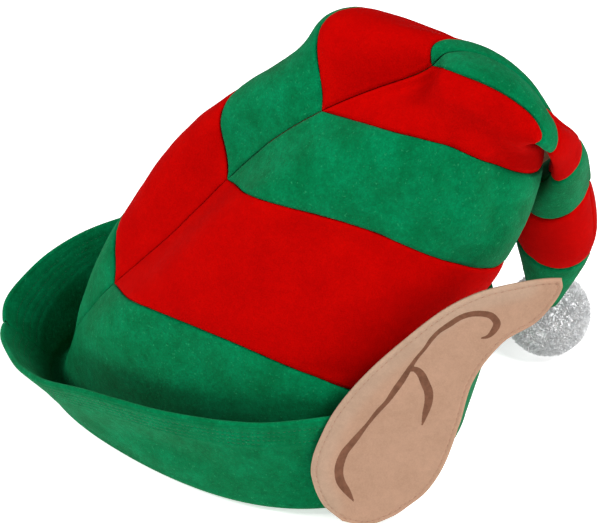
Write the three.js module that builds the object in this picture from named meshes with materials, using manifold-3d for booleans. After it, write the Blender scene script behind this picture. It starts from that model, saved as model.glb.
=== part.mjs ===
// A felt elf hat: a striped crown that runs into a floppy tail, a turned-up brim, two ears and a pompom.
// Millimetres, +Z up. The hat faces -Y and stands on the fold of its brim, at z = 0.
import * as THREE from "three";
import { mergeVertices } from "three/addons/utils/BufferGeometryUtils.js";
import Module from "manifold-3d";

const wasm = await Module();
wasm.setup();

// Driving dimensions
const openingLength = 216; // front to back, at the middle of the crown's wall
const openingWidth = 152;
const openingTaper = 0.26; // how much narrower the opening is in front than behind, as a share of its width
const crownHeight = 250; // from the surface to the top of the crown
const crownReach = 150; // how far the crown's top leans back behind the middle of the opening
const tailWidth = 44; // the tail, across
const feltWall = 2.2;
const seamGap = 0.3; // what sewn neighbours keep between them

const brimHeight = 62; // rim above the surface, at the sides
const brimProw = 23; // how far the rim's tip stands out past the fold in front
const brimFlare = 9; // how far the rim stands out past the fold at the sides
const brimWall = 3; // two layers of felt
const foldRise = 7; // height at which the crown's lower edge is sewn to the brim

const earLength = 179; // lobe to tip
const earWidth = 67;
const earWall = 3; // two layers of felt
const earChamfer = 0.6;
const earTilt = 34; // how far the ear's length leans back from upright, in degrees
const earTurn = 15; // how far the ear's face turns to the back, in degrees
const earLean = 4; // how far the ear's top leans in over the crown, in degrees
const earRise = 0.5; // the lobe's lowest point, above the surface
const leftEarBack = 72; // and behind the middle of the opening
const rightEarBack = 58;

const pompomRadius = 19.5; // the solid head under the tufts
const tuftLength = 4.5;
const tuftWidth = 13;
const tuftCount = 44;
const pompomSide = -70; // the pompom's middle, from the middle of the opening
const pompomBack = 146;

const aroundHalf = 16; // steps round half of the hat, from the front seam to the back seam
const foldSteps = 5;
const brimSteps = 6;
const brimColumns = 22;
const earSteps = 18;

const green = 0x0b7a45;
const red = 0xc00a0a;
const skin = 0xd2a88a;
const white = 0xe9e9ea;

// The stripes from the opening to the tip of the tail. point is how far the stripe's lower edge runs on at
// the sides, in stripes: it is cut straight on each flat half, so it comes to a point at both seams.
const stripes = [
  { colour: green, point: 0, rows: 5 },
  { colour: red, point: 0.44, rows: 5 },
  { colour: green, point: 0.68, rows: 5 },
  { colour: red, point: 0.75, rows: 7 },
  { colour: green, point: 1.08, rows: 7 },
  { colour: red, point: 0.45, rows: 4 },
  { colour: green, point: 0.3, rows: 4 },
  { colour: red, point: 0.25, rows: 4 },
  { colour: green, point: 0.2, rows: 4 },
];

// The crown's sections. along counts stripes up the front seam from the opening. back, up and side place the
// section's middle, as shares of crownReach, crownHeight and tailWidth. lean is the way on along the crown,
// in degrees above the horizontal, and roll turns the section, its near side up. reach is half the section
// from the front seam to the back seam as a share of openingLength, and width half the section across as a
// share of openingWidth. round is 1 for an ellipse and less where the halves puff out beside the seams, and
// dent is how far the front seam lies in, as a share of the section.
const crownSections = [
  {
    along: 0, back: -0.02, up: 0.03, side: 0,
    lean: 90, roll: 0, reach: 0.485, width: 0.5, round: 1, dent: 0,
  },
  {
    along: 1, back: 0.03, up: 0.265, side: 0.12,
    lean: 71, roll: -21, reach: 0.46, width: 0.49, round: 1.03, dent: 0.15,
  },
  {
    along: 2, back: 0.23, up: 0.55, side: 0.02,
    lean: 59, roll: -31, reach: 0.405, width: 0.43, round: 0.99, dent: 0.31,
  },
  {
    along: 3, back: 0.5, up: 0.77, side: 0.04,
    lean: 59, roll: -38, reach: 0.33, width: 0.365, round: 0.95, dent: 0.14,
  },
  {
    along: 4, back: 0.75, up: 0.885, side: 0.13,
    lean: 50, roll: -32, reach: 0.225, width: 0.22, round: 0.86, dent: 0.11,
  },
  {
    along: 4.5, back: 0.87, up: 0.885, side: 0.33,
    lean: 41, roll: -6, reach: 0.115, width: 0.165, round: 1, dent: 0,
  },
  {
    along: 5, back: 0.985, up: 0.855, side: 0.59,
    lean: 2, roll: 20, reach: 0.05, width: 0.11, round: 1, dent: 0,
  },
  {
    along: 6, back: 1.045, up: 0.73, side: 0.11,
    lean: -39, roll: 23, reach: 0.055, width: 0.105, round: 1, dent: 0,
  },
  {
    along: 7, back: 1.01, up: 0.57, side: -0.55,
    lean: -76, roll: -2, reach: 0.08, width: 0.145, round: 1, dent: 0,
  },
  {
    along: 8, back: 0.995, up: 0.38, side: -1,
    lean: -100, roll: -7, reach: 0.1, width: 0.135, round: 1, dent: 0,
  },
  {
    along: 9, back: 0.965, up: 0.165, side: -1.3,
    lean: -100, roll: 50, reach: 0.035, width: 0.05, round: 1, dent: 0,
  },
];

// Soft folds in the cloth of the crown. turn and along place the fold's middle, wide is how far it reaches
// round the crown, in degrees, and long how far along it, in stripes. out is how far the cloth stands out
// there, as a share of openingLength, and below zero where it falls in.
const folds = [
  { turn: -50, along: 3.65, wide: 35, long: 0.45, out: 0.14 },
  { turn: -48, along: 4.05, wide: 23, long: 0.85, out: -0.06 },
  { turn: 9, along: 3.9, wide: 26, long: 0.95, out: -0.11 },
  { turn: 163, along: 4.35, wide: 37, long: 0.6, out: -0.035 },
  { turn: -113, along: 4, wide: 54, long: 0.75, out: -0.12 },
  { turn: 18, along: 4.45, wide: 42, long: 0.45, out: 0.14 },
  { turn: 108, along: 2.25, wide: 32, long: 1.65, out: 0.13 },
  { turn: -62, along: 2.25, wide: 23, long: 0.5, out: -0.04 },
];

// The brim's rim, from the prow round to the back. turn is the angle round the opening in degrees. leftProw
// and rightProw are how far forward the rim of each half is drawn, as shares of brimProw, out is the way past
// the fold as a share of brimFlare, and rise is the rim's height as a share of brimHeight.
const rimSections = [
  { turn: 0, leftProw: 1, rightProw: 1, out: 0, rise: 0.42 },
  { turn: 10, leftProw: 0.75, rightProw: 1, out: 0.6, rise: 0.47 },
  { turn: 20, leftProw: 0.5, rightProw: 0.88, out: 1.2, rise: 0.53 },
  { turn: 40, leftProw: 0.22, rightProw: 0.58, out: 2.2, rise: 0.7 },
  { turn: 60, leftProw: 0.1, rightProw: 0.2, out: 2, rise: 0.87 },
  { turn: 90, leftProw: 0, rightProw: 0, out: 1.1, rise: 0.98 },
  { turn: 120, leftProw: 0, rightProw: 0, out: 0.8, rise: 1.1 },
  { turn: 150, leftProw: 0, rightProw: 0, out: 1.2, rise: 1.06 },
  { turn: 180, leftProw: 0, rightProw: 0, out: 1.4, rise: 1 },
];

// The ear's outline. along runs from the lobe to the tip as a share of earLength, and front and back are how
// far the edges lie behind the line from the lobe's lowest point to the tip, as shares of earWidth.
const earSections = [
  { along: 0, front: -0.165, back: -0.165 },
  { along: 0.018, front: -0.366, back: 0 },
  { along: 0.085, front: -0.597, back: 0.14 },
  { along: 0.139, front: -0.688, back: 0.19 },
  { along: 0.214, front: -0.75, back: 0.232 },
  { along: 0.315, front: -0.797, back: 0.202 },
  { along: 0.457, front: -0.787, back: 0.078 },
  { along: 0.598, front: -0.722, back: -0.064 },
  { along: 0.746, front: -0.622, back: -0.075 },
  { along: 0.845, front: -0.487, back: 0.028 },
  { along: 0.921, front: -0.305, back: 0.04 },
  { along: 0.976, front: -0.139, back: 0.015 },
  { along: 1, front: -0.039, back: -0.039 },
];

const degrees = Math.PI / 180;
const dentTurn = 22; // how far round the front seam its dent reaches, in degrees

// A smooth value of one column of a table, at a place in the column that orders its rows.
function between(rows, order, key, place) {
  const last = rows.length - 1;
  const at = Math.min(Math.max(place, rows[0][order]), rows[last][order]);
  let low = 0;
  while (low < last - 1 && rows[low + 1][order] <= at) low += 1;
  const slope = (k) => {
    const [from, to] = [Math.max(k - 1, 0), Math.min(k + 1, last)];
    return (rows[to][key] - rows[from][key]) / (rows[to][order] - rows[from][order]);
  };
  const span = rows[low + 1][order] - rows[low][order];
  const t = (at - rows[low][order]) / span;
  const ease = t * t * (3 - 2 * t);
  const bow = slope(low) * t * (1 - t) ** 2 - slope(low + 1) * t * t * (1 - t);
  return rows[low][key] * (1 - ease) + rows[low + 1][key] * ease + span * bow;
}

// How far the folds push the cloth out at a place on the crown.
function foldAt(turn, along) {
  let sum = 0;
  for (const fold of folds) {
    const off = ((((turn - fold.turn + 180) % 360) + 360) % 360) - 180;
    sum += fold.out * Math.exp(-((off / fold.wide) ** 2) - ((along - fold.along) / fold.long) ** 2);
  }
  return sum * openingLength;
}

// A point of the crown's wall. turn is 0 at the front seam, 90 on the +X side and 180 at the back seam.
// along counts stripes from the opening, and depth is how far inside the outer face the point lies.
function crownPoint(turn, along, depth) {
  const value = (key) => between(crownSections, "along", key, along);
  const lean = value("lean") * degrees;
  const roll = value("roll") * degrees;
  const front = new THREE.Vector3(0, -Math.sin(lean), Math.cos(lean));
  const near = new THREE.Vector3(1, 0, 0);
  const frontRolled = front.clone().multiplyScalar(Math.cos(roll)).addScaledVector(near, -Math.sin(roll));
  const nearRolled = near.clone().multiplyScalar(Math.cos(roll)).addScaledVector(front, Math.sin(roll));
  const reach = value("reach") * openingLength - depth;
  const width = value("width") * openingWidth - depth;
  const taper = openingTaper * Math.max(0, 1 - along / 2);
  const angle = turn * degrees;
  const round = value("round");
  const puff = (share) => Math.sign(share) * Math.abs(share) ** round;
  const inward = 1 - value("dent") * Math.exp(-((turn / dentTurn) ** 2));
  const lengthwise = reach * inward * puff(Math.cos(angle));
  const across = width * puff(Math.sin(angle)) * (1 - taper * Math.cos(angle));
  const out = frontRolled.clone().multiplyScalar(lengthwise).addScaledVector(nearRolled, across);
  const size = out.length();
  return new THREE.Vector3(value("side") * tailWidth, value("back") * crownReach, value("up") * crownHeight)
    .addScaledVector(out, 1 + foldAt(turn, along) / size);
}

// Where the lower edge of a stripe runs at a turn.
function stripeEdge(index, turn) {
  const point = index < stripes.length ? stripes[index].point : 0;
  return index + point * Math.abs(Math.sin(turn * degrees));
}

// A closed mesh from a grid of points that has an outer and an inner face, each rows by columns.
function sheetSolid(outer, inner) {
  const rows = outer.length;
  const columns = outer[0].length;
  const positions = [];
  const indices = [];
  for (const face of [outer, inner]) {
    for (const row of face) {
      for (const p of row) positions.push(p.x, p.y, p.z);
    }
  }
  const id = (side, r, c) => (side * rows + r) * columns + c;
  const quad = (a, b, c, d) => indices.push(a, b, c, a, c, d);
  for (let r = 0; r < rows - 1; r++) {
    for (let c = 0; c < columns - 1; c++) {
      quad(id(0, r, c), id(0, r, c + 1), id(0, r + 1, c + 1), id(0, r + 1, c));
      quad(id(1, r, c), id(1, r + 1, c), id(1, r + 1, c + 1), id(1, r, c + 1));
    }
  }
  for (let r = 0; r < rows - 1; r++) {
    quad(id(0, r, 0), id(0, r + 1, 0), id(1, r + 1, 0), id(1, r, 0));
    quad(id(0, r, columns - 1), id(1, r, columns - 1), id(1, r + 1, columns - 1), id(0, r + 1, columns - 1));
  }
  for (let c = 0; c < columns - 1; c++) {
    quad(id(0, 0, c), id(1, 0, c), id(1, 0, c + 1), id(0, 0, c + 1));
    quad(id(0, rows - 1, c), id(0, rows - 1, c + 1), id(1, rows - 1, c + 1), id(1, rows - 1, c));
  }
  const geometry = new THREE.BufferGeometry();
  geometry.setAttribute("position", new THREE.Float32BufferAttribute(positions, 3));
  geometry.setIndex(indices);
  return geometry;
}

// The geometry with its positions alone.
function bare(geometry) {
  const copy = geometry.clone();
  for (const name of Object.keys(copy.attributes)) {
    if (name !== "position") copy.deleteAttribute(name);
  }
  return copy;
}

function manifoldOf(geometry) {
  const merged = mergeVertices(bare(geometry), 1e-4);
  return new wasm.Manifold(
    new wasm.Mesh({
      numProp: 3,
      vertProperties: merged.attributes.position.array,
      triVerts: new Uint32Array(merged.index.array),
    }),
  );
}

function geometryOf(solid) {
  const mesh = solid.getMesh();
  const geometry = new THREE.BufferGeometry();
  geometry.setAttribute("position", new THREE.BufferAttribute(new Float32Array(mesh.vertProperties), 3));
  geometry.setIndex(new THREE.BufferAttribute(new Uint32Array(mesh.triVerts), 1));
  return geometry;
}

// Turns the winding round where a sheet was made from the far side.
function facingOut(geometry) {
  if (manifoldOf(geometry).volume() >= 0) return geometry;
  const index = geometry.index.array;
  for (let i = 0; i < index.length; i += 3) [index[i + 1], index[i + 2]] = [index[i + 2], index[i + 1]];
  return geometry;
}

// One half of a stripe: hand is 1 for the half on the +X side and -1 for the other.
function stripeHalf(index, hand) {
  const steps = stripes[index].rows;
  const outer = [];
  const inner = [];
  const gapTurn = (seamGap / 2 / (between(crownSections, "along", "reach", index) * openingLength)) / degrees;
  for (let r = 0; r <= steps; r++) {
    const outerRow = [];
    const innerRow = [];
    for (let c = 0; c <= aroundHalf; c++) {
      const turn = gapTurn + ((180 - 2 * gapTurn) * c) / aroundHalf;
      const low = stripeEdge(index, turn);
      const high = stripeEdge(index + 1, turn);
      const span = crownPoint(turn, low, 0).distanceTo(crownPoint(turn, high, 0));
      const gap = (seamGap / 2 / span) * (high - low);
      const from = index === 0 ? low : low + gap;
      const to = high - gap;
      const along = from + ((to - from) * r) / steps;
      const signed = hand * turn;
      outerRow.push(crownPoint(signed, along, 0));
      innerRow.push(crownPoint(signed, along, feltWall));
    }
    outer.push(outerRow);
    inner.push(innerRow);
  }
  return facingOut(sheetSolid(outer, inner));
}

// The crown's wall at the opening, at a turn, with the way out of the hat there.
function openingWall(turn) {
  const outer = crownPoint(turn, 0, 0);
  const round = crownPoint(turn + 1, 0, 0).sub(crownPoint(turn - 1, 0, 0));
  const out = new THREE.Vector3(round.y, -round.x, 0).normalize();
  if (out.dot(outer) < 0) out.negate();
  return { middle: outer.addScaledVector(out, -feltWall / 2), out };
}

// The brim's profile, as pairs of distance out and height: down from the edge sewn to the crown, round the
// fold, which is flat below, and up to the rim. face is 1 for the face that shows and -1 for the inner one.
function brimProfile(hand, turn, face) {
  const value = (key) => between(rimSections, "turn", key, turn);
  const sewn = foldRise - seamGap;
  const bend = sewn - brimWall / 2;
  const radius = bend + (face * brimWall) / 2;
  const profile = [];
  for (let i = 0; i <= foldSteps; i++) {
    const angle = (Math.PI * i) / foldSteps;
    const reach = i === 0 || i === foldSteps ? radius : radius / Math.cos(Math.PI / foldSteps / 2);
    profile.push([bend - reach * Math.cos(angle), sewn - reach * Math.sin(angle), 0]);
  }
  const run = new THREE.Vector2(value("out") * brimFlare, value("rise") * brimHeight - sewn);
  const aside = new THREE.Vector2(run.y, -run.x).normalize().multiplyScalar((face * brimWall) / 2);
  for (let i = 1; i <= brimSteps; i++) {
    const t = i / brimSteps;
    const forward = value(hand > 0 ? "leftProw" : "rightProw") * brimProw * t;
    profile.push([2 * bend + run.x * t + aside.x, sewn + run.y * t + aside.y, forward]);
  }
  return profile;
}

// One half of the brim: hand is 1 for the half on the +X side and -1 for the other.
function brimHalf(hand) {
  const gapTurn = seamGap / 2 / (openingWidth / 2) / degrees;
  const faces = [[], []];
  for (let c = 0; c <= brimColumns; c++) {
    const turn = gapTurn + ((180 - 2 * gapTurn) * c) / brimColumns;
    const { middle, out } = openingWall(hand * turn);
    faces.forEach((rows, i) => {
      brimProfile(hand, turn, i === 0 ? 1 : -1).forEach(([away, height, forward], r) => {
        rows[r] ??= [];
        const at = middle.clone().addScaledVector(out, away);
        rows[r].push(new THREE.Vector3(at.x, at.y - forward, height));
      });
    });
  }
  return facingOut(sheetSolid(faces[0], faces[1]));
}

// The ear's outline as a flat shape: x runs back from the line from lobe to tip, and y along it.
function earShape() {
  const edge = (key) => {
    const points = [];
    for (let i = 0; i < earSteps; i++) {
      const along = (1 - Math.cos((Math.PI * i) / earSteps)) / 2;
      points.push(new THREE.Vector2(between(earSections, "along", key, along) * earWidth, along * earLength));
    }
    return points;
  };
  const last = earSections[earSections.length - 1];
  const tip = new THREE.Vector2(last.back * earWidth, last.along * earLength);
  return new THREE.Shape([...edge("back"), tip, ...edge("front").slice(1).reverse()]);
}

// An ear, flat against the brim. hand is 1 for the one on the +X side and -1 for the other.
function ear(hand, earBack, brim) {
  const geometry = new THREE.ExtrudeGeometry(earShape(), {
    depth: earWall - 2 * earChamfer,
    bevelThickness: earChamfer,
    bevelSize: earChamfer,
    bevelOffset: -earChamfer,
    bevelSegments: 1,
  });
  geometry.translate(0, 0, earChamfer);
  const face = new THREE.Vector3(
    Math.cos(earTurn * degrees) * Math.cos(earLean * degrees),
    Math.sin(earTurn * degrees) * Math.cos(earLean * degrees),
    Math.sin(earLean * degrees),
  );
  const backwards = new THREE.Vector3(-face.y, face.x, 0).normalize();
  const upwards = face.clone().cross(backwards);
  const length = upwards.clone().multiplyScalar(Math.cos(earTilt * degrees));
  length.addScaledVector(backwards, Math.sin(earTilt * degrees));
  const behind = length.clone().cross(face);
  // The face lies against whatever part of the brim stands out furthest towards it.
  const position = brim.getAttribute("position");
  const point = new THREE.Vector3();
  let reach = -Infinity;
  for (let i = 0; i < position.count; i++) {
    point.fromBufferAttribute(position, i);
    point.x *= hand;
    reach = Math.max(reach, point.dot(face));
  }
  const side = (reach + seamGap - face.y * earBack - face.z * earRise) / face.x;
  const frame = new THREE.Matrix4().makeBasis(behind, length, face).setPosition(side, earBack, earRise);
  geometry.applyMatrix4(frame);
  if (hand < 0) geometry.scale(-1, 1, 1);
  return facingOut(mergeVertices(bare(geometry), 1e-4));
}

// The end of the tail as one closed block, larger all round than the tail itself.
function tailEnd(larger) {
  const points = [];
  const from = stripes.length - 1;
  for (let r = 0; r <= 6; r++) {
    for (let c = 0; c < 2 * aroundHalf; c++) {
      const p = crownPoint((180 * c) / aroundHalf, from + r / 6, -larger);
      points.push(p.x, p.y, p.z - (r === 6 ? larger : 0));
    }
  }
  const triples = [];
  for (let i = 0; i < points.length; i += 3) triples.push(points.slice(i, i + 3));
  return wasm.Manifold.hull(triples);
}

// The pompom: tufts all round a head, pressed flat where it lies on the surface and open for the tail's end.
function pompom() {
  const height = pompomRadius + tuftLength * 0.6;
  const tufts = [];
  const spiral = Math.PI * (3 - Math.sqrt(5));
  for (let i = 0; i < tuftCount; i++) {
    const z = 1 - (2 * (i + 0.5)) / tuftCount;
    const flat = Math.sqrt(1 - z * z);
    const out = new THREE.Vector3(flat * Math.cos(i * spiral), flat * Math.sin(i * spiral), z);
    const tuft = new THREE.ConeGeometry(tuftWidth / 2, tuftLength * 2, 6, 1);
    tuft.translate(0, pompomRadius, 0);
    tuft.applyQuaternion(new THREE.Quaternion().setFromUnitVectors(new THREE.Vector3(0, 1, 0), out));
    tufts.push(manifoldOf(tuft));
  }
  const head = manifoldOf(new THREE.IcosahedronGeometry(pompomRadius, 2));
  const ball = wasm.Manifold.union([head, ...tufts]).translate([pompomSide, pompomBack, height]);
  const whole = ball.subtract(tailEnd(seamGap)).trimByPlane([0, 0, 1], 0);
  return geometryOf(whole);
}

function felt(name, geometry, colour) {
  const mesh = new THREE.Mesh(
    geometry,
    new THREE.MeshStandardMaterial({ color: colour, roughness: 0.95, metalness: 0 }),
  );
  mesh.name = name;
  return mesh;
}

const hat = new THREE.Group();
stripes.forEach(({ colour }, index) => {
  hat.add(felt(`stripe_${index + 1}_left`, stripeHalf(index, 1), colour));
  hat.add(felt(`stripe_${index + 1}_right`, stripeHalf(index, -1), colour));
});
const brims = { left: brimHalf(1), right: brimHalf(-1) };
hat.add(felt("brim_left", brims.left, green));
hat.add(felt("brim_right", brims.right, green));
hat.add(felt("ear_left", ear(1, leftEarBack, brims.left), skin));
hat.add(felt("ear_right", ear(-1, rightEarBack, brims.right), skin));
hat.add(felt("pompom", pompom(), white));

// The hat stands with the middle of its own box over the origin.
const box = new THREE.Box3().setFromObject(hat);
const middle = box.getCenter(new THREE.Vector3());
for (const mesh of hat.children) {
  mesh.geometry.translate(-middle.x, -middle.y, 0);
  mesh.geometry.computeVertexNormals();
}
hat.userData.opening = { x: -middle.x, y: -middle.y };

export default hat;
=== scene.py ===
# %% [markdown]
# # A felt elf hat
# The hat is sewn from stripes of felt, green and red in turn. It has a turned-up brim, two flat felt ears
# and a pompom on the tip of its tail. The solids from the CAD step are the frame: they give each piece its
# size and place. Here every one of them gets its cloth: seams that pull in, soft folds, stitches and pile.

# %% Load the frame
import math
import bpy
import bmesh
import numpy as np
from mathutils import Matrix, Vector, noise


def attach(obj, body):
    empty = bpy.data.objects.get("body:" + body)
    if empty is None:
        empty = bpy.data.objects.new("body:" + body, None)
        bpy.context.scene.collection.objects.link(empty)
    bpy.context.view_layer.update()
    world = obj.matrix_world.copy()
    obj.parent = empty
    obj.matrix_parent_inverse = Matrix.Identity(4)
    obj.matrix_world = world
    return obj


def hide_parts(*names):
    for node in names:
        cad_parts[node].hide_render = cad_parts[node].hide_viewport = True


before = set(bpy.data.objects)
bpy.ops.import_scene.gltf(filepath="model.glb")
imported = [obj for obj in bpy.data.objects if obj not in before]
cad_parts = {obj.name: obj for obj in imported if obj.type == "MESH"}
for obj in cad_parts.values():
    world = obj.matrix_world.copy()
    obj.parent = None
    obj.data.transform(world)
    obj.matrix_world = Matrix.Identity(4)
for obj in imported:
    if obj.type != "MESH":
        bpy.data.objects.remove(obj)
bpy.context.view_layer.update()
MM = 0.001

# %% [markdown]
# ## The camera, the floor and the light
# The photograph looks down on the hat from its left side, a little behind its middle. A long lens keeps the
# lines calm. The camera comes first, because every later look at the hat depends on it.

# %% Camera
OPENING = Vector((-0.2414, -13.5060, 0.0)) * MM


def camera_frame(azimuth, elevation):
    """The way back to the camera, the picture's right and its up, for two angles in degrees."""
    a, e = math.radians(azimuth), math.radians(elevation)
    back = Vector((math.sin(a) * math.cos(e), -math.cos(a) * math.cos(e), math.sin(e)))
    right = Vector((math.cos(a), math.sin(a), 0.0))
    return back, right, back.cross(right)


AZIMUTH, ELEVATION, DISTANCE = 102, 40, 1700
PICTURE_WIDTH, PIXELS_PER_MM, SENSOR = 600, 1.85, 36
AIM_RIGHT, AIM_UP = 22.32, 70.54
back, right, up = camera_frame(AZIMUTH, ELEVATION)
eye = OPENING + back * DISTANCE * MM
target = OPENING + right * AIM_RIGHT * MM + up * AIM_UP * MM
lens = bpy.data.cameras.new("camera")
lens.sensor_fit = "HORIZONTAL"
lens.sensor_width = SENSOR
lens.lens = SENSOR * PIXELS_PER_MM * DISTANCE / PICTURE_WIDTH
camera = bpy.data.objects.new("camera", lens)
camera.location = eye
camera.rotation_euler = (target - eye).to_track_quat("-Z", "Y").to_euler()
bpy.context.scene.collection.objects.link(camera)
bpy.context.scene.camera = camera
bpy.context.scene.view_settings.view_transform = "Standard"
print("camera lens", round(lens.lens, 1), "mm")

# %% [markdown]
# A studio lights such a hat with large soft boxes on a pale floor. Disk lamps stand in for the boxes: one
# from the front, one from above and behind, and a weak one that keeps the near side from going black.

# %% Floor and light
def node_material(name):
    material = bpy.data.materials.new(name)
    material.use_nodes = True
    return material, material.node_tree.nodes, material.node_tree.links


floor_finish, nodes, _ = node_material("pale_floor")
shader = nodes["Principled BSDF"]
shader.inputs["Base Color"].default_value = (0.93, 0.93, 0.93, 1)
shader.inputs["Roughness"].default_value = 0.9
shader.inputs["Emission Color"].default_value = (1, 1, 1, 1)
shader.inputs["Emission Strength"].default_value = 0.62
bm = bmesh.new()
bmesh.ops.create_grid(bm, x_segments=1, y_segments=1, size=4.0)
floor_mesh = bpy.data.meshes.new("floor")
bm.to_mesh(floor_mesh)
bm.free()
floor = bpy.data.objects.new("floor", floor_mesh)
floor_mesh.materials.append(floor_finish)
bpy.context.scene.collection.objects.link(floor)
FLOOR_DROP = 0.6
floor.location.z = -FLOOR_DROP * MM

world = bpy.data.worlds.new("studio")
world.use_nodes = True
world.node_tree.nodes["Background"].inputs["Color"].default_value = (1, 1, 1, 1)
world.node_tree.nodes["Background"].inputs["Strength"].default_value = 0.1
bpy.context.scene.world = world


def soft_lamp(name, place, aim, size, power):
    data = bpy.data.lights.new(name, "AREA")
    data.shape = "DISK"
    data.size = size
    data.energy = power
    lamp = bpy.data.objects.new(name, data)
    lamp.location = place
    lamp.rotation_euler = (Vector(aim) - Vector(place)).to_track_quat("-Z", "Y").to_euler()
    bpy.context.scene.collection.objects.link(lamp)


soft_lamp("key", (0.45, -1.75, 1.2), (0, 0, 0.1), 0.7, 34)
soft_lamp("fill", (1.6, 0.8, 1.1), (0, 0, 0.1), 1.2, 4)
soft_lamp("top", (0.45, 1.1, 1.75), (0, 0.05, 0.1), 0.7, 39)

# %% [markdown]
# ## The shape of the crown
# The crown and the tail are one long bag. A table gives its sections from the opening to the tip of the
# tail, each with a place, a lean and a size, and a smooth curve runs through every column. A second table
# presses soft folds into it. The CAD solids come from the same tables, so the cloth lies where they are.

# %% Tables of the crown
OPENING_LENGTH, OPENING_WIDTH, OPENING_TAPER = 216, 152, 0.26
CROWN_HEIGHT, CROWN_REACH, TAIL_WIDTH = 250, 150, 44
FELT, SEAM_GAP, DENT_TURN = 2.2, 0.3, 22
SECTION_COLUMNS = ("along", "back", "up", "side", "lean", "roll", "reach", "width", "round", "dent")
CROWN_SECTIONS = np.array([
    (0, -0.02, 0.03, 0, 90, 0, 0.485, 0.5, 1, 0),
    (1, 0.03, 0.265, 0.12, 71, -21, 0.46, 0.49, 1.03, 0.15),
    (2, 0.23, 0.55, 0.02, 59, -31, 0.405, 0.43, 0.99, 0.31),
    (3, 0.5, 0.77, 0.04, 59, -38, 0.33, 0.365, 0.95, 0.14),
    (4, 0.75, 0.885, 0.13, 50, -32, 0.225, 0.22, 0.86, 0.11),
    (4.5, 0.87, 0.885, 0.33, 41, -6, 0.115, 0.165, 1, 0),
    (5, 0.985, 0.855, 0.59, 2, 20, 0.05, 0.11, 1, 0),
    (6, 1.045, 0.73, 0.11, -39, 23, 0.055, 0.105, 1, 0),
    (7, 1.01, 0.57, -0.55, -76, -2, 0.08, 0.145, 1, 0),
    (8, 0.995, 0.38, -1, -100, -7, 0.1, 0.135, 1, 0),
    (9, 0.965, 0.165, -1.3, -100, 50, 0.035, 0.05, 1, 0),
])
CROWN_FOLDS = [
    dict(turn=-50, along=3.65, wide=35, long=0.45, out=0.14),
    dict(turn=-48, along=4.05, wide=23, long=0.85, out=-0.06),
    dict(turn=9, along=3.9, wide=26, long=0.95, out=-0.11),
    dict(turn=163, along=4.35, wide=37, long=0.6, out=-0.035),
    dict(turn=-113, along=4, wide=54, long=0.75, out=-0.12),
    dict(turn=18, along=4.45, wide=42, long=0.45, out=0.14),
    dict(turn=108, along=2.25, wide=32, long=1.65, out=0.13),
    dict(turn=-62, along=2.25, wide=23, long=0.5, out=-0.04),
]
STRIPE_POINTS = [0, 0.44, 0.68, 0.75, 1.08, 0.45, 0.3, 0.25, 0.2, 0]


def smooth_rows(table, places):
    """Values of every column of a table between its rows, as a smooth curve through them."""
    order = table[:, 0]
    last = len(order) - 1
    at = np.clip(places, order[0], order[-1])
    low = np.clip(np.searchsorted(order, at, side="right") - 1, 0, last - 1)
    rows = np.arange(last + 1)
    before, after = np.maximum(rows - 1, 0), np.minimum(rows + 1, last)
    slope = (table[after] - table[before]) / (order[after] - order[before])[:, None]
    span = (order[low + 1] - order[low])[:, None]
    t = (at - order[low])[:, None] / span
    ease = t * t * (3 - 2 * t)
    bow = slope[low] * t * (1 - t) ** 2 - slope[low + 1] * t * t * (1 - t)
    return table[low] * (1 - ease) + table[low + 1] * ease + span * bow


def crown_points(turn, along):
    """Points on the crown's outer face, in millimetres, in the hat's own frame."""
    value = dict(zip(SECTION_COLUMNS, smooth_rows(CROWN_SECTIONS, along).T))
    lean, roll, angle = (np.radians(x) for x in (value["lean"], value["roll"], turn))
    zero = np.zeros_like(lean)
    front = np.stack([zero, -np.sin(lean), np.cos(lean)], 1)
    near = np.stack([zero + 1, zero, zero], 1)
    front_rolled = front * np.cos(roll)[:, None] - near * np.sin(roll)[:, None]
    near_rolled = near * np.cos(roll)[:, None] + front * np.sin(roll)[:, None]
    puff = lambda share: np.sign(share) * np.abs(share) ** value["round"]
    taper = OPENING_TAPER * np.maximum(0, 1 - along / 2)
    inward = 1 - value["dent"] * np.exp(-((turn / DENT_TURN) ** 2))
    lengthwise = value["reach"] * OPENING_LENGTH * inward * puff(np.cos(angle))
    across = value["width"] * OPENING_WIDTH * puff(np.sin(angle)) * (1 - taper * np.cos(angle))
    out = front_rolled * lengthwise[:, None] + near_rolled * across[:, None]
    size = np.linalg.norm(out, axis=1)
    fold = np.zeros_like(size)
    for f in CROWN_FOLDS:
        off = (turn - f["turn"] + 180) % 360 - 180
        near_fold = np.exp(-((off / f["wide"]) ** 2) - ((along - f["along"]) / f["long"]) ** 2)
        fold += f["out"] * OPENING_LENGTH * near_fold
    middle = np.stack(
        [value["side"] * TAIL_WIDTH, value["back"] * CROWN_REACH, value["up"] * CROWN_HEIGHT], 1)
    return middle + out * (1 + fold / size)[:, None]


def stripe_edge(index, turn):
    """Where a stripe begins along the crown. Its edge comes to a point at the front and back seams."""
    return index + STRIPE_POINTS[index] * np.abs(np.sin(np.radians(turn)))


print("crown reaches", crown_points(np.array([0.0, 90.0]), np.array([2.0, 2.0])).round(1).tolist())

# %% [markdown]
# Every cloth piece is made the same way: a grid or a ball in a bmesh, its corners moved all at once with
# arrays, and then one mesh that rides on the hat. The few steps that they share are functions.

# %% Helpers for cloth
def facing(points, du, dv):
    """Unit normals from two steps along the surface."""
    normal = np.cross(du - points, dv - points)
    return normal / np.maximum(np.linalg.norm(normal, axis=1), 1e-9)[:, None]


def soft_noise(points, size, seed=0.0):
    """Smooth noise from -1 to 1 at points in millimetres, with lumps of about the given size."""
    shift = Vector((seed, seed * 1.7, seed * 0.3))
    return np.array([noise.noise(Vector(p) / size + shift) for p in points])


def node_points(name):
    """The corners of a CAD node, in metres."""
    return [vert.co.copy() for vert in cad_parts[name].data.vertices]


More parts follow.
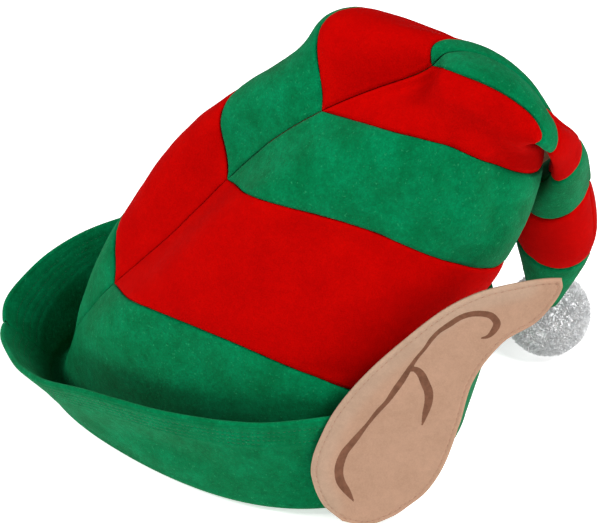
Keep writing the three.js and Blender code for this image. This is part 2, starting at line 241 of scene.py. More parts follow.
def side_name(base, hand):
    return f"{base}_{'left' if hand > 0 else 'right'}"


def place_corners(bm, points):
    """Moves a bmesh's corners to points in millimetres, measured from the middle of the opening."""
    for vert, place in zip(bm.verts, points):
        vert.co = Vector(place) * MM + OPENING


def add_wall(piece, thickness):
    """Gives a sheet its thickness, inwards from the face that shows."""
    wall = piece.modifiers.new("wall", "SOLIDIFY")
    wall.thickness = thickness * MM
    wall.offset = -1


def add_piece(name, bm, node, finish, smooth=True):
    """Makes a bmesh the finished piece that stands for a CAD node."""
    for face in bm.faces:
        face.smooth = smooth
    mesh = bpy.data.meshes.new(name)
    bm.to_mesh(mesh)
    bm.free()
    piece = bpy.data.objects.new(name, mesh)
    mesh.materials.append(finish)
    bpy.context.scene.collection.objects.link(piece)
    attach(piece, "root")
    if node:
        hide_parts(node)
    return piece


def repeated(bm, count):
    """Copies what a bmesh holds until it is there count times. Gives the corners of every copy."""
    per = len(bm.verts)
    while len(bm.verts) < per * count:
        bmesh.ops.duplicate(bm, geom=bm.verts[:] + bm.edges[:] + bm.faces[:])
    bm.verts.ensure_lookup_table()
    bmesh.ops.delete(bm, geom=bm.verts[per * count:], context="VERTS")
    return np.array([v.co[:] for v in bm.verts]).reshape(count, per, 3)


def laid(shapes, starts, x_axes, y_axes, z_axes):
    """Turns every copy to its own three axes and moves it to its own start, in millimetres."""
    x, y, z = (shapes[:, :, i, None] for i in range(3))
    places = starts[:, None] + x * x_axes[:, None] + y * y_axes[:, None] + z * z_axes[:, None]
    return places.reshape(-1, 3)


def unit(rows):
    return rows / np.maximum(np.linalg.norm(rows, axis=1), 1e-9)[:, None]


def stitch_piece(name, places, runs, normals, long, thick, finish, rings):
    """Short stitches of thread, half sunk in the cloth."""
    bm = bmesh.new()
    bmesh.ops.create_icosphere(bm, subdivisions=rings, radius=0.5)
    shapes = repeated(bm, len(places))
    runs, normals = unit(runs), unit(normals)
    across = np.cross(normals, runs)
    place_corners(bm, laid(shapes, places, runs * long, across * thick, normals * thick))
    add_piece(name, bm, None, finish)


print("felt wall", FELT, "mm, gap at a seam", SEAM_GAP, "mm")

# %% [markdown]
# ## Felt
# Felt has no weave. Its short fibres lie every way, so its colour is mottled, its surface is finely rough
# and it takes a soft sheen at the edges. Noise at three sizes does this: broad clouds, flecks a millimetre
# long and the fibres themselves, which also drive the bump. Object coordinates keep it fixed to the cloth.

# %% Felt materials
def ramp(nodes, links, source, stops):
    node = nodes.new("ShaderNodeValToRGB")
    while len(node.color_ramp.elements) < len(stops):
        node.color_ramp.elements.new(0.5)
    for element, (place, colour) in zip(node.color_ramp.elements, stops):
        element.position = place
        element.color = (*colour, 1)
    links.new(source, node.inputs["Fac"])
    return node.outputs["Color"]


def noise_node(nodes, links, coordinates, scale, detail=2.0, rough=0.5):
    node = nodes.new("ShaderNodeTexNoise")
    node.inputs["Scale"].default_value = scale
    node.inputs["Detail"].default_value = detail
    node.inputs["Roughness"].default_value = rough
    links.new(coordinates, node.inputs["Vector"])
    return node.outputs["Fac"]


def mixed(nodes, links, kind, factor, a, b):
    node = nodes.new("ShaderNodeMix")
    node.data_type = "RGBA"
    node.blend_type = kind
    node.clamp_factor = True
    if isinstance(factor, float):
        node.inputs[0].default_value = factor
    else:
        links.new(factor, node.inputs[0])
    for socket, value in ((node.inputs[6], a), (node.inputs[7], b)):
        if isinstance(value, tuple):
            socket.default_value = (*value, 1)
        else:
            links.new(value, socket)
    return node.outputs[2]


def felt_material(name, dark, middle, light, mottle, flecks, sheen, bump):
    """Felt in three tones.

    mottle is how dark its tufts and fibres get, and flecks is how much of the pale stray ones shows.
    """
    material, nodes, links = node_material(name)
    shader = nodes["Principled BSDF"]
    where = nodes.new("ShaderNodeTexCoord").outputs["Object"]
    clouds = noise_node(nodes, links, where, 60, 4, 0.6)
    colour = ramp(nodes, links, clouds, [(0.34, dark), (0.5, middle), (0.68, light)])
    tufts = noise_node(nodes, links, where, 330, 3, 0.65)
    fibres = noise_node(nodes, links, where, 1100, 3, 0.7)
    for height, least in ((tufts, 1 - mottle * 0.8), (fibres, 1 - mottle)):
        shade = ramp(nodes, links, height, [(0.38, (least, least, least)), (0.62, (1.0, 1.0, 1.0))])
        colour = mixed(nodes, links, "MULTIPLY", 1.0, colour, shade)
    specks = noise_node(nodes, links, where, 640, 2, 0.5)
    speck_mask = ramp(nodes, links, specks, [(0.64, (0, 0, 0)), (0.76, (1, 1, 1))])
    dimmed = nodes.new("ShaderNodeMath")
    dimmed.operation = "MULTIPLY"
    links.new(speck_mask, dimmed.inputs[0])
    dimmed.inputs[1].default_value = flecks
    pale = tuple(min(1.0, x * 1.9 + 0.04) for x in light)
    colour = mixed(nodes, links, "MIX", dimmed.outputs[0], colour, pale)
    links.new(colour, shader.inputs["Base Color"])
    shader.inputs["Roughness"].default_value = 0.95
    shader.inputs["Sheen Weight"].default_value = sheen
    shader.inputs["Sheen Roughness"].default_value = 0.5
    shader.inputs["Specular IOR Level"].default_value = 0.02
    rough = nodes.new("ShaderNodeMath")
    rough.operation = "ADD"
    links.new(tufts, rough.inputs[0])
    links.new(fibres, rough.inputs[1])
    push = nodes.new("ShaderNodeBump")
    push.inputs["Strength"].default_value = bump
    push.inputs["Distance"].default_value = 0.0005
    links.new(rough.outputs[0], push.inputs["Height"])
    links.new(push.outputs["Normal"], shader.inputs["Normal"])
    return material


GREEN = felt_material(
    "green_felt", (0.0, 0.148, 0.047), (0.0, 0.178, 0.06), (0.0, 0.212, 0.076),
    mottle=0.22, flecks=0.28, sheen=0.03, bump=0.6)
RED = felt_material(
    "red_felt", (0.415, 0.0003, 0.0), (0.44, 0.0004, 0.0), (0.468, 0.0007, 0.0),
    mottle=0.1, flecks=0.02, sheen=0.0, bump=0.3)
print("felt materials", GREEN.name, RED.name)

# %% [markdown]
# Sewing thread is smoother than felt and a little darker here, so that a row of stitches can be seen.

# %% Thread
def thread_material(name, dark, light):
    material, nodes, links = node_material(name)
    shader = nodes["Principled BSDF"]
    where = nodes.new("ShaderNodeTexCoord").outputs["Object"]
    tone = ramp(nodes, links, noise_node(nodes, links, where, 1600, 2, 0.6), [(0.35, dark), (0.65, light)])
    links.new(tone, shader.inputs["Base Color"])
    shader.inputs["Roughness"].default_value = 0.6
    return material


GREEN_THREAD = thread_material("green_thread", (0.0, 0.07, 0.022), (0.0, 0.11, 0.036))
TAN_THREAD = thread_material("tan_thread", (0.26, 0.12, 0.07), (0.42, 0.21, 0.13))
print("threads", GREEN_THREAD.name, TAN_THREAD.name)

# %% [markdown]
# ## Creases and seams
# The hat has been packed flat, so its crown has soft creases besides the large folds. Each is a line between
# two places on the crown, pressed in or raised with a bell-shaped section. Close to every seam the cloth
# rolls in, because the seam allowance pulls it to the inside.

# %% Creases and seams
CREASES = [
    # from (turn, along), to (turn, along), width and depth in millimetres, below zero where it stands out
    ((96, 2.75), (60, 2.95), 7, 1.3),
    ((105, 2.6), (72, 2.62), 8, 1.0),
    ((14, 2.15), (34, 2.85), 9, 0.9),
    ((88, 1.5), (122, 1.7), 9, 1.4),
    ((84, 2.55), (50, 2.4), 6, 1.1),
    ((100, 3.05), (92, 3.75), 7, 1.8),
    ((70, 3.7), (86, 3.2), 6, 1.6),
    ((30, 1.35), (64, 1.1), 14, 0.9),
    ((-30, 1.4), (-66, 1.9), 12, 1.2),
    ((-100, 2.2), (-140, 2.5), 10, 1.5),
    ((-150, 1.2), (-120, 1.9), 12, 1.3),
    ((150, 1.3), (172, 2.2), 10, 1.5),
]


def near_segment(points, a, b):
    """Distance of points from the line between two points."""
    run = b - a
    t = np.clip((points - a) @ run / (run @ run), 0, 1)
    return np.linalg.norm(points - a - t[:, None] * run, axis=1)


def crown_relief(points, turn, along):
    """How far folds, creases and lumps move the cloth out, in millimetres."""
    free = np.clip(along / 0.25, 0, 1)
    relief = 1.5 * soft_noise(points, 46, 3.1) + 0.5 * soft_noise(points, 17, 8.3)
    relief += 0.12 * soft_noise(points, 5, 1.3)
    for start, end, width, depth in CREASES:
        a, b = crown_points(*np.array([start, end], float).T)
        relief -= depth * np.exp(-((near_segment(points, a, b) / width) ** 2))
    tail = np.clip((along - 4.2) / 0.8, 0, 1)
    return relief * free * (1 - 0.5 * tail)


def dense_ends(share, pull=0.62):
    """Moves evenly spaced shares towards both ends, for fine faces along the seams."""
    return share - pull * np.sin(2 * np.pi * share) / (2 * np.pi)


def turned_in(from_seam):
    """How far the cloth is drawn in at a distance from its seam, in millimetres."""
    return 1.0 * np.exp(-((from_seam / 1.1) ** 2)) + 0.5 * np.exp(-((from_seam / 5.5) ** 2))


print("creases:", len(CREASES), "and a seam is drawn in by", turned_in(0), "mm")

# %% [markdown]
# ## The stripes
# Each stripe is two flat cuts of felt, sewn to their neighbours all round. A grid with a row of faces for
# every couple of millimetres is bent onto the crown. It puckers a little along the thread. Solidify then
# gives the felt its thickness. A grid was chosen because its edges are the seams, so they are easy to find.

# %% Stripes
TURN_STEP, ALONG_STEP = 0.4, 0.01
FIRST_TAIL_STRIPE = 5


def crown_frame(signed, along, hand):
    """Points on the crown, the way they face, and the millimetres that one degree of turn makes there."""
    points = crown_points(signed, along)
    step_turn = crown_points(signed + TURN_STEP * hand, along)
    normal = facing(points, step_turn, crown_points(signed, along + ALONG_STEP)) * hand
    return points, normal, np.linalg.norm(step_turn - points, axis=1) / TURN_STEP


def stripe_piece(index, hand):
    columns, rows = (132, 44) if index < FIRST_TAIL_STRIPE else (72, 26)
    bm = bmesh.new()
    bmesh.ops.create_grid(bm, x_segments=columns, y_segments=rows, size=0.5)
    flat = np.array([v.co[:] for v in bm.verts])
    share, climb = dense_ends(flat[:, 0] + 0.5), dense_ends(flat[:, 1] + 0.5)
    middle_row = smooth_rows(CROWN_SECTIONS, np.array([index + 0.5]))[0]
    reach = middle_row[SECTION_COLUMNS.index("reach")] * OPENING_LENGTH
    gap = math.degrees(SEAM_GAP / 2 / reach)
    turn = gap + (180 - 2 * gap) * share
    low, high = stripe_edge(index, turn), stripe_edge(index + 1, turn)
    span = np.linalg.norm(crown_points(turn * hand, low) - crown_points(turn * hand, high), axis=1)
    edge = (SEAM_GAP / 2 / span) * (high - low)
    start = low + (0 if index == 0 else edge)
    along = start + (high - edge - start) * climb
    signed = turn * hand
    points, normal, per_degree = crown_frame(signed, along, hand)
    from_seams = np.minimum(turn, 180 - turn) * per_degree
    from_low = climb * span if index else np.full(len(climb), 99.0)
    from_high = (1 - climb) * span
    nearest = np.minimum(np.minimum(from_seams, from_low), from_high)
    pucker = 0.22 * np.exp(-((nearest / 6) ** 2)) * soft_noise(points, 3.4, 5.5)
    moved = points + normal * (crown_relief(points, signed, along) - turned_in(nearest) + pucker)[:, None]
    place_corners(bm, moved)
    if hand < 0:
        bmesh.ops.reverse_faces(bm, faces=bm.faces)
    name = side_name(f"stripe_{index + 1}", hand)
    add_wall(add_piece(f"cloth_{name}", bm, name, GREEN if index % 2 == 0 else RED), FELT)


for stripe in range(9):
    for side in (1, -1):
        stripe_piece(stripe, side)

# %% [markdown]
# Behind a seam the edges of both stripes are pressed open. They close the seam, so that no light comes
# through it from inside the hat. One thin strip inside each wide seam stands for the two edges.

# %% Seam allowances
ALLOWANCE, ALLOWANCE_WALL, BEHIND_FELT = 5, 1.0, 0.25


def seam_allowance(index, hand):
    """The edges of two stripes, pressed open inside the hat behind the seam between them."""
    bm = bmesh.new()
    bmesh.ops.create_grid(bm, x_segments=120, y_segments=12, size=0.5)
    flat = np.array([v.co[:] for v in bm.verts])
    turn = 1.5 + 177 * (flat[:, 0] + 0.5)
    signed, away = turn * hand, flat[:, 1] * ALLOWANCE * 2
    edge = stripe_edge(index, turn)
    span = crown_points(signed, edge + ALONG_STEP) - crown_points(signed, edge - ALONG_STEP)
    along = edge + away / (np.linalg.norm(span, axis=1) / (2 * ALONG_STEP))
    points, normal, per_degree = crown_frame(signed, along, hand)
    from_seams = np.minimum(turn, 180 - turn) * per_degree
    depth = FELT + BEHIND_FELT + turned_in(np.minimum(np.abs(away), from_seams))
    moved = points + normal * (crown_relief(points, signed, along) - depth)[:, None]
    place_corners(bm, moved)
    if hand < 0:
        bmesh.ops.reverse_faces(bm, faces=bm.faces)
    name = side_name(f"stripe_{index}", hand)
    piece = add_piece(f"allowance_{name}", bm, None, GREEN if index % 2 else RED, True)
    add_wall(piece, ALLOWANCE_WALL)


for stripe in range(1, FIRST_TAIL_STRIPE):
    for side in (1, -1):
        seam_allowance(stripe, side)
print("seam allowances behind", FIRST_TAIL_STRIPE - 1, "seams of each half")

# %% [markdown]
# ## The brim
# The brim is doubled felt. It is sewn to the crown's lower edge, turned up and stitched along its rim, and
# its two halves meet in front in a prow. One grid follows the whole section: down the outside of the seam,
# round the fold that the hat rests on, up to the rim, over it and back down the inside.

# %% Brim
BRIM_HEIGHT, BRIM_PROW, BRIM_FLARE, BRIM_WALL, FOLD_RISE = 62, 23, 9, 3, 7
RIM_SECTIONS = np.array([
    # turn, left prow, right prow, out, rise
    (0, 1, 1, 0, 0.42),
    (10, 0.75, 1, 0.6, 0.47),
    (20, 0.5, 0.88, 1.2, 0.53),
    (40, 0.22, 0.58, 2.2, 0.7),
    (60, 0.1, 0.2, 2, 0.87),
    (90, 0, 0, 1.1, 0.98),
    (120, 0, 0, 0.8, 1.1),
    (150, 0, 0, 1.2, 1.06),
    (180, 0, 0, 1.4, 1),
])
RIM_STITCH_ROWS = (4.2, 7.0, 9.8, 12.6)
HEM_WIDTH = 15.5
BRIM_DENTS = [
    # turn and climb of the middle, how wide in degrees and tall as a share of the face, and depth
    (76, 0.45, 16, 0.22, 2.6), (58, 0.3, 9, 0.2, 1.4), (128, 0.5, 12, 0.25, 1.2), (30, 0.6, 10, 0.2, 0.8),
]


def opening_wall(turn):
    """The middle of the crown's wall at the opening, and the way out from it in plan."""
    outer = crown_points(turn, np.zeros_like(turn))
    around = crown_points(turn + 1, np.zeros_like(turn)) - crown_points(turn - 1, np.zeros_like(turn))
    out = np.stack([around[:, 1], -around[:, 0], np.zeros_like(turn)], 1)
    out /= np.linalg.norm(out, axis=1)[:, None]
    out *= np.sign((out * outer).sum(1))[:, None]
    return outer - out * FELT / 2, out


LOOP_STOPS = np.array([0, 0.1, 0.5, 0.6, 0.92, 1.0])
RISING = 1.35


def brim_surface(hand, turn, loop):
    """Points of the brim, how far they are from the rim and the way they face.

    loop goes round the section: outer fold, outer face, rim, inner face and inner fold.
    """
    _, left_prow, right_prow, out_share, rise_share = smooth_rows(RIM_SECTIONS, turn).T
    prow = left_prow if hand > 0 else right_prow
    middle, out = opening_wall(turn * hand)
    sewn = FOLD_RISE - SEAM_GAP
    bend, half = sewn - BRIM_WALL / 2, BRIM_WALL / 2
    run_out, run_up = out_share * BRIM_FLARE, rise_share * BRIM_HEIGHT - sewn
    length = np.hypot(run_out, run_up)
    aside_out, aside_up = run_up / length, -run_out / length
    part = np.clip(np.searchsorted(LOOP_STOPS, loop, side="right") - 1, 0, 4)
    t = (loop - LOOP_STOPS[part]) / (LOOP_STOPS[part + 1] - LOOP_STOPS[part])
    outer_fold, outer_face, rim, inner_face, inner_fold = (part == i for i in range(5))
    upper = outer_face | rim | inner_face
    round_rim = np.pi * t
    climb = np.select([outer_face, rim, inner_face], [1 - (1 - t) ** RISING, 1.0, 1 - t], 0.0)
    facing_side = np.select([outer_fold | outer_face, rim], [1.0, np.cos(round_rim)], -1.0)
    fold_angle = np.where(outer_fold, np.pi * t, np.pi * (1 - t))
    fold_radius = bend + np.where(outer_fold, half, -half)
    over = np.where(rim, np.sin(round_rim) * half, 0)
    start = np.clip(climb * 6, 0, 1)
    side = facing_side * half
    lean_out = run_out * climb + side * (1 + (aside_out - 1) * start) + over * run_out / length
    lean_up = run_up * climb + side * aside_up * start + over * run_up / length
    away = np.where(upper, 2 * bend + lean_out, bend - fold_radius * np.cos(fold_angle))
    height = np.where(upper, sewn + lean_up, sewn - fold_radius * np.sin(fold_angle))
    from_rim = np.where(upper, (1 - climb) * length + np.where(rim, -1, 0), 99)
    points = middle + out * away[:, None]
    points[:, 1] -= prow * BRIM_PROW * climb
    points[:, 2] = height
    spot = middle + np.stack([np.zeros_like(climb), np.zeros_like(climb), height * 0.6], 1)
    lumps = (2.0 * soft_noise(spot, 55, 2.2) + 0.6 * soft_noise(spot, 18, 6.4)) * np.where(upper, climb, 0)
    for at_turn, at_climb, wide, tall, depth in BRIM_DENTS:
        lumps -= depth * np.exp(-(((turn - at_turn) / wide) ** 2) - ((climb - at_climb) / tall) ** 2)
    stitched = sum(np.exp(-(((from_rim - row) / 0.55) ** 2)) for row in RIM_STITCH_ROWS)
    hem = 0.35 / (1 + np.exp((from_rim - HEM_WIDTH) / 0.35)) * (from_rim > 1)
    seam = np.minimum(turn, 180 - turn) / 180 * 0.5 * math.pi * OPENING_LENGTH * 0.9
    pull = 0.38 * stitched - hem + 0.8 * np.exp(-((seam / 0.9) ** 2)) * upper
    normal = out * np.sign(facing_side)[:, None]
    points += out * lumps[:, None] - normal * pull[:, None]
    points[:, 2] = np.maximum(points[:, 2], 0)
    return points, from_rim, normal, length


def brim_half(hand):
    columns, rows = 150, 130
    bm = bmesh.new()
    bmesh.ops.create_grid(bm, x_segments=columns, y_segments=rows, size=0.5)
    flat = np.array([v.co[:] for v in bm.verts])
    share, loop = dense_ends(flat[:, 0] + 0.5), flat[:, 1] + 0.5
    gap = math.degrees(SEAM_GAP / 2 / (OPENING_WIDTH / 2))
    turn = gap + (180 - 2 * gap) * share
    points, _, _, _ = brim_surface(hand, turn, loop)
    place_corners(bm, points)
    bmesh.ops.remove_doubles(bm, verts=bm.verts, dist=1e-6)
    bmesh.ops.holes_fill(bm, edges=[e for e in bm.edges if e.is_boundary], sides=0)
    bmesh.ops.recalc_face_normals(bm, faces=bm.faces)
    name = side_name("brim", hand)
    add_piece(f"cloth_{name}", bm, name, GREEN)


def brim_stitches(hand):
    """The rows of stitches along the rim, on both faces of the brim."""
    turn = np.linspace(2, 178, 150)
    places, runs, normals = [], [], []
    for row in RIM_STITCH_ROWS:
        length = brim_surface(hand, turn, np.full_like(turn, 0.55))[3]
        up_outer = 1 - (row / length) ** (1 / RISING)
        loops = (LOOP_STOPS[1] + (LOOP_STOPS[2] - LOOP_STOPS[1]) * up_outer,
                 LOOP_STOPS[3] + (LOOP_STOPS[4] - LOOP_STOPS[3]) * row / length)
        for loop in loops:
            here, _, normal, _ = brim_surface(hand, turn, loop)
            ahead = brim_surface(hand, turn + 0.3, loop)[0]
            places.append(here)
            runs.append(ahead - here)
            normals.append(normal)
    stitch_piece(side_name("rim_stitches", hand), np.vstack(places), np.vstack(runs), np.vstack(normals),
                 long=1.7, thick=0.4, finish=GREEN_THREAD, rings=1)


for side in (1, -1):
    brim_half(side)
    brim_stitches(side)
print("brim halves and rim stitches made")

# %% [markdown]
# ## The ears
# Each ear is two flat layers of skin-coloured felt, sewn together near their edge. Two tables hold what an
# ear needs: how far its front and back edges lie from its axis, and the brown line of an ear's folds that is
# printed on the outer face. The line is kept as places with a width, so it can swell and run out.

# %% Tables of the ears
EAR_LENGTH, EAR_WIDTH, EAR_WALL = 179, 67, 3
EAR_TILT, EAR_TURN, EAR_LEAN = 34, 15, 4
EAR_SECTIONS = np.array([
    # along, front, back
    (0, -0.165, -0.165), (0.018, -0.366, 0), (0.085, -0.597, 0.14), (0.139, -0.688, 0.19),
    (0.214, -0.75, 0.232), (0.315, -0.797, 0.202), (0.457, -0.787, 0.078), (0.598, -0.722, -0.064),
    (0.746, -0.622, -0.075), (0.845, -0.487, 0.028), (0.921, -0.305, 0.04), (0.976, -0.139, 0.015),
    (1, -0.039, -0.039),
])
PRINTED_LINES = [
    # across, along and the line's width there, in millimetres from the lobe's lowest point
    [(-16.5, 130, 0.8), (-14, 132.5, 2), (-13.5, 136.5, 3.3), (-14.5, 141, 3.7), (-17.5, 143, 3.7),
     (-21.5, 143.5, 3.7), (-28, 140.5, 3.7), (-32.5, 135.5, 3.3), (-35, 129, 3.3), (-37, 123, 2.5),
     (-37.5, 117, 2.5), (-37, 111.5, 2), (-37, 104.5, 2), (-36.5, 97.5, 2.5), (-35.5, 89.5, 3.3),
     (-35, 81.5, 3.3), (-34.5, 74.5, 2.5), (-35, 67.5, 2.5), (-35, 59, 2), (-35, 53.5, 2.5),
     (-35, 48.5, 3.3), (-35, 43.5, 3.7), (-35, 37.5, 4.1), (-33, 30.5, 4.5), (-30, 25, 4.5),
     (-25.5, 20.5, 4.5), (-20, 17.5, 3.7), (-13.5, 14, 0.8)],
    [(-37, 96.5, 1.6), (-33.5, 98, 3.3), (-29.5, 97, 4.1), (-24.5, 93.5, 4.5), (-20, 90, 4.5),
     (-16.5, 85, 4.1), (-14, 79, 3.3), (-11, 71.5, 0.8)],
]
STITCH_PITCH, STITCH_INSET = 3.4, 2.6
RIM_BAND, RIM_BAND_EDGE = 9.5, 1.3


def spline(points, steps=6):
    """A smooth curve through rows of numbers."""
    rows = np.column_stack([np.arange(len(points)), np.array(points, float)])
    return smooth_rows(rows, np.linspace(0, len(points) - 1, (len(points) - 1) * steps + 1))[:, 1:]


def line_reach(flat, line):
    """How far points lie inside a line of changing width, in millimetres: below zero outside it."""
    best = np.full(len(flat), -99.0)
    for (ax, ay, aw), (bx, by, bw) in zip(line[:-1], line[1:]):
        run = np.array([bx - ax, by - ay])
        t = np.clip(((flat - (ax, ay)) @ run) / (run @ run), 0, 1)
        gap = np.linalg.norm(flat - (ax, ay) - t[:, None] * run, axis=1)
        best = np.maximum(best, (aw + (bw - aw) * t) / 2 - gap)
    return best


def to_outline(flat, outline):
    """Distance of points to a closed outline, and how far along it the nearest place is."""
    best, place, walked = np.full(len(flat), 99.0), np.zeros(len(flat)), 0.0
    for a, b in zip(outline, np.roll(outline, -1, axis=0)):
        run = b - a
        length = np.linalg.norm(run)
        t = np.clip(((flat - a) @ run) / max(length * length, 1e-9), 0, 1)
        gap = np.linalg.norm(flat - a - t[:, None] * run, axis=1)
        nearer = gap < best
        best, place = np.where(nearer, gap, best), np.where(nearer, walked + t * length, place)
        walked += length
    return best, place


def ear_edge(side, along):
    """The front edge (side 1) or the back edge (side 2) of the ear, in millimetres from its axis."""
    return smooth_rows(EAR_SECTIONS, along)[:, side] * EAR_WIDTH


print("printed lines with", [len(line) for line in PRINTED_LINES], "points")

# %% [markdown]
# The ear's felt is printed with brown ink, which soaks in unevenly. Two attributes of the mesh drive the
# finish: how far a place lies inside the printed line, and the raised band along the front edge, which
# catches more light. There the colour is made paler as a painted highlight, and the felt behind the band
# a little darker as painted shade.

# %% Ear finish
SKIN = felt_material(
    "skin_felt", (0.41, 0.265, 0.182), (0.43, 0.28, 0.194), (0.455, 0.295, 0.206),
    mottle=0.07, flecks=0.06, sheen=0.0, bump=0.25)
nodes, links = SKIN.node_tree.nodes, SKIN.node_tree.links
shader = nodes["Principled BSDF"]
cloth_colour = shader.inputs["Base Color"].links[0].from_socket
reach = nodes.new("ShaderNodeAttribute")
reach.attribute_name = "print"
where = nodes.new("ShaderNodeTexCoord").outputs["Object"]
ragged = nodes.new("ShaderNodeMath")
ragged.operation = "MULTIPLY_ADD"
links.new(noise_node(nodes, links, where, 1500, 2, 0.6), ragged.inputs[0])
ragged.inputs[1].default_value = 0.3
links.new(reach.outputs["Fac"], ragged.inputs[2])
inked = ramp(nodes, links, ragged.outputs[0], [(0.1, (0, 0, 0)), (0.2, (1, 1, 1))])
ink_clouds = noise_node(nodes, links, where, 260, 3, 0.6)
ink = ramp(nodes, links, ink_clouds, [(0.3, (0.13, 0.058, 0.034)), (0.7, (0.2, 0.09, 0.055))])
band = nodes.new("ShaderNodeAttribute")
band.attribute_name = "band"
# painted highlight and shade: the raised band's colour is lifted, the felt behind it a little darker
band_painted_highlight = ramp(nodes, links, band.outputs["Fac"], [(0, (1.0, 0.93, 0.9)), (1, (1.0, 1.03, 1.05))])
cloth_with_painted_highlight = mixed(nodes, links, "MULTIPLY", 1.0, cloth_colour, band_painted_highlight)
links.new(mixed(nodes, links, "MIX", inked, cloth_with_painted_highlight, ink), shader.inputs["Base Color"])
print("ear finish with print")

# %% [markdown]
# Two grids are bent to the ear's outline, one for each face, and they meet at its edge, where the thickness
# runs out in a round. The distance to the edge gives the row of stitches and the raised band in front.

# %% Ears
def ear_half(flat_points, outward, outline):
    """Shape of one face of the ear: thickness, stitches and the raised rim in front."""
    inside, place = to_outline(flat_points, outline)
    round_off = np.clip(inside / 1.6, 0, 1)
    wall = EAR_WALL / 2 * np.sqrt(np.maximum(1 - (1 - round_off) ** 2, 0))
    dash = 0.5 + 0.5 * np.cos(place * 2 * np.pi / STITCH_PITCH)
    stitch = np.exp(-(((inside - STITCH_INSET) / 0.55) ** 2)) * (0.2 + 0.2 * dash)
    rim_step = 0.9 * in_band(flat_points)
    spots = np.column_stack([flat_points, np.full(len(flat_points), 9.0 * outward)])
    lumps = 0.45 * soft_noise(spots, 30, 4.4) + 0.12 * soft_noise(spots, 9, 7.7)
    lumps += 0.05 * soft_noise(spots, 3, 1.9)
    keep = np.clip((inside - 0.4) / 5, 0, 1)
    return wall + keep * (lumps + rim_step * (outward > 0) - 0.35) - stitch * (inside > 0.8)


def in_band(flat_points):
    """1 in the raised band along the ear's front edge, 0 well behind it."""
    along = np.linspace(0.02, 0.93, 60)
    front = np.column_stack([ear_edge(1, along), along * EAR_LENGTH])
    best = np.full(len(flat_points), 99.0)
    for a, b in zip(front[:-1], front[1:]):
        best = np.minimum(best, near_segment(flat_points, a, b))
    return 1 / (1 + np.exp(-(RIM_BAND - best) / RIM_BAND_EDGE))


def ear_outline():
    around = (1 - np.cos(np.pi * np.linspace(0, 1, 90))) / 2
    rear_edge = np.column_stack([ear_edge(2, around), around * EAR_LENGTH])
    front_edge = np.column_stack([ear_edge(1, around), around * EAR_LENGTH])
    return np.vstack([rear_edge, front_edge[-2:0:-1]])


def ear_axes(name, hand):
    """The ear's three directions and the place of its lobe, in metres, from the CAD node."""
    turn, lean, tilt = (math.radians(x) for x in (EAR_TURN, EAR_LEAN, EAR_TILT))
    face = Vector((math.cos(turn) * math.cos(lean), math.sin(turn) * math.cos(lean), math.sin(lean)))
    backwards = Vector((-face.y, face.x, 0)).normalized()
    length = face.cross(backwards) * math.cos(tilt) + backwards * math.sin(tilt)
    aside = length.cross(face)
    solid = [Vector((v.x * hand, v.y, v.z)) for v in node_points(name)]
    rear = max(p.dot(aside) for p in solid) - ear_outline()[:, 0].max() * MM
    lobe = min(p.dot(length) for p in solid)
    outer = max(p.dot(face) for p in solid) - EAR_WALL / 2 * MM
    return aside, length, face, aside * rear + length * lobe + face * outer


def ear_piece(hand):
    columns, rows = 96, 190
    outline = ear_outline()
    bm = bmesh.new()
    for _ in range(2):
        bmesh.ops.create_grid(bm, x_segments=columns, y_segments=rows, size=0.5)
    bm.verts.ensure_lookup_table()
    grid = np.array([v.co[:2] for v in bm.verts])
    half = len(grid) // 2
    across, along = dense_ends(grid[:, 0] + 0.5), (1 - np.cos(np.pi * (grid[:, 1] + 0.5))) / 2
    front, behind = ear_edge(1, along), ear_edge(2, along)
    flat_points = np.column_stack([front + (behind - front) * across, along * EAR_LENGTH])
    outward = np.where(np.arange(len(grid)) < half, 1.0, -1.0)
    name = side_name("ear", hand)
    aside, length, face, origin = ear_axes(name, hand)
    points = np.zeros((len(grid), 3))
    for side in (1, -1):
        pick = outward == side
        out_by = ear_half(flat_points[pick], side, outline)
        x, y = flat_points[pick].T * MM
        in_plane = np.outer(x, aside) + np.outer(y, length)
        points[pick] = in_plane + np.outer(side * out_by * MM, face) + origin
    printed = np.maximum(*(line_reach(flat_points, spline(line)) for line in PRINTED_LINES))
    printed = np.where(outward > 0, printed, -2.0)
    points[:, 0] *= hand
    for vert, place in zip(bm.verts, points):
        vert.co = place
    for attribute, values in (("print", printed), ("band", in_band(flat_points))):
        layer = bm.verts.layers.float.new(attribute)
        for vert, value in zip(bm.verts, values):
            vert[layer] = float(value)
    bmesh.ops.remove_doubles(bm, verts=bm.verts, dist=2e-5)
    bmesh.ops.recalc_face_normals(bm, faces=bm.faces)
    add_piece(f"cloth_{name}", bm, name, SKIN)


def ear_stitches(hand):
    """One stitch every few millimetres round the ear, on both faces."""
    outline = ear_outline()
    steps = np.linalg.norm(np.roll(outline, -1, axis=0) - outline, axis=1)
    walked = np.concatenate([[0], np.cumsum(steps)])
    at = np.arange(0, walked[-1], STITCH_PITCH)
    closed = np.vstack([outline, outline[:1]])
    edge = np.column_stack([np.interp(at, walked, closed[:, i]) for i in range(2)])
    ahead = np.column_stack([np.interp(at + 1, walked, closed[:, i]) for i in range(2)])
    run = unit(ahead - edge)
    flat = edge + np.column_stack([-run[:, 1], run[:, 0]]) * STITCH_INSET
    aside, length, face, origin = ear_axes(side_name("ear", hand), hand)
    places, runs, normals = [], [], []
    for side in (1, -1):
        out_by = ear_half(flat, side, outline)
        spots = np.outer(flat[:, 0] * MM, aside) + np.outer(flat[:, 1] * MM, length)
        spots = spots + np.outer(side * out_by * MM, face) + origin
        spots[:, 0] *= hand
        places.append((spots - OPENING) / MM)
        way = np.outer(run[:, 0], aside) + np.outer(run[:, 1], length)
        runs.append(way * (hand, 1, 1))
        normals.append(np.tile(np.array(face) * side * (hand, 1, 1), (len(flat), 1)))
    stitch_piece(side_name("ear_stitches", hand), np.vstack(places), np.vstack(runs), np.vstack(normals),
                 long=1.9, thick=0.45, finish=TAN_THREAD, rings=2)


for side in (1, -1):
    ear_piece(side)
    ear_stitches(side)
print("ears and their stitches made")

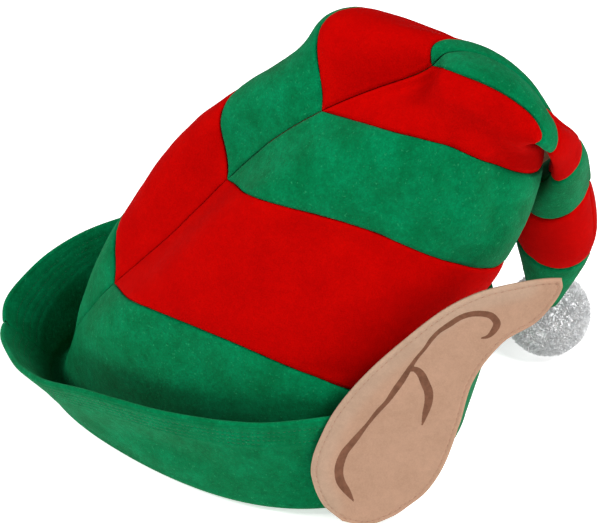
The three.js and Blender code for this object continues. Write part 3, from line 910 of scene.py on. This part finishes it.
# %% [markdown]
# ## The pompom
# White pile lets light through from strand to strand, so it has no hard shadows. A little light of its own
# stands in for that, which costs no time and leaves no grain.

# %% Pompom finish
PILE, nodes, links = node_material("white_pile")
shader = nodes["Principled BSDF"]
where = nodes.new("ShaderNodeTexCoord").outputs["Object"]
pile_clouds = noise_node(nodes, links, where, 190, 3, 0.6)
tone = ramp(nodes, links, pile_clouds, [(0.3, (0.92, 0.93, 0.94)), (0.7, (0.95, 0.95, 0.95))])
links.new(tone, shader.inputs["Base Color"])
shader.inputs["Roughness"].default_value = 0.95
shader.inputs["Specular IOR Level"].default_value = 0
shader.inputs["Emission Color"].default_value = (1, 1, 1, 1)
shader.inputs["Emission Strength"].default_value = 0.03
print("pompom finish", PILE.name)

# %% [markdown]
# The pompom is a ball of fine pile. One strand is made as a thin three-sided cone and doubled until there
# are enough, and then every strand gets its own root on the ball, its own length and its own lean.

# %% Pompom
POMPOM_RADIUS, POMPOM_SIDE, POMPOM_BACK, TUFT_LENGTH = 19.5, -70, 146, 4.5
HEAD_OUT, ROOTS_OUT, STRANDS = 2.5, 1.9, 28000
POMPOM_MIDDLE = np.array([POMPOM_SIDE, POMPOM_BACK, POMPOM_RADIUS + TUFT_LENGTH * 0.6])


def pompom_head():
    bm = bmesh.new()
    bmesh.ops.create_icosphere(bm, subdivisions=5, radius=1)
    points = np.array([v.co[:] for v in bm.verts])
    size = POMPOM_RADIUS + HEAD_OUT + 0.45 * soft_noise(points * 19, 11, 3.3)
    places = points * size[:, None] + POMPOM_MIDDLE
    places[:, 2] = np.maximum(places[:, 2], 0.2)
    place_corners(bm, places)
    add_piece("pompom_head", bm, "pompom", PILE)


def pompom_pile(count):
    rng = np.random.default_rng(11)
    bm = bmesh.new()
    bmesh.ops.create_cone(bm, cap_ends=True, cap_tris=True, segments=3, radius1=1, radius2=0, depth=1)
    shapes = repeated(bm, count) + (0, 0, 0.5)
    roots = unit(rng.normal(size=(count, 3)))
    lean = unit(roots + 0.3 * rng.normal(size=roots.shape))
    long = rng.uniform(1.4, 2.8, (count, 1))
    thin = rng.uniform(0.08, 0.13, (count, 1))
    aside = unit(np.cross(lean, rng.normal(size=roots.shape)))
    other = np.cross(lean, aside)
    starts = roots * (POMPOM_RADIUS + ROOTS_OUT) + POMPOM_MIDDLE
    places = laid(shapes, starts, aside * thin, other * thin, lean * long)
    places[:, 2] = np.maximum(places[:, 2], 0.05)
    place_corners(bm, places)
    add_piece("pompom_pile", bm, None, PILE, False)
    print("strands on the pompom:", count)


pompom_head()
pompom_pile(STRANDS)
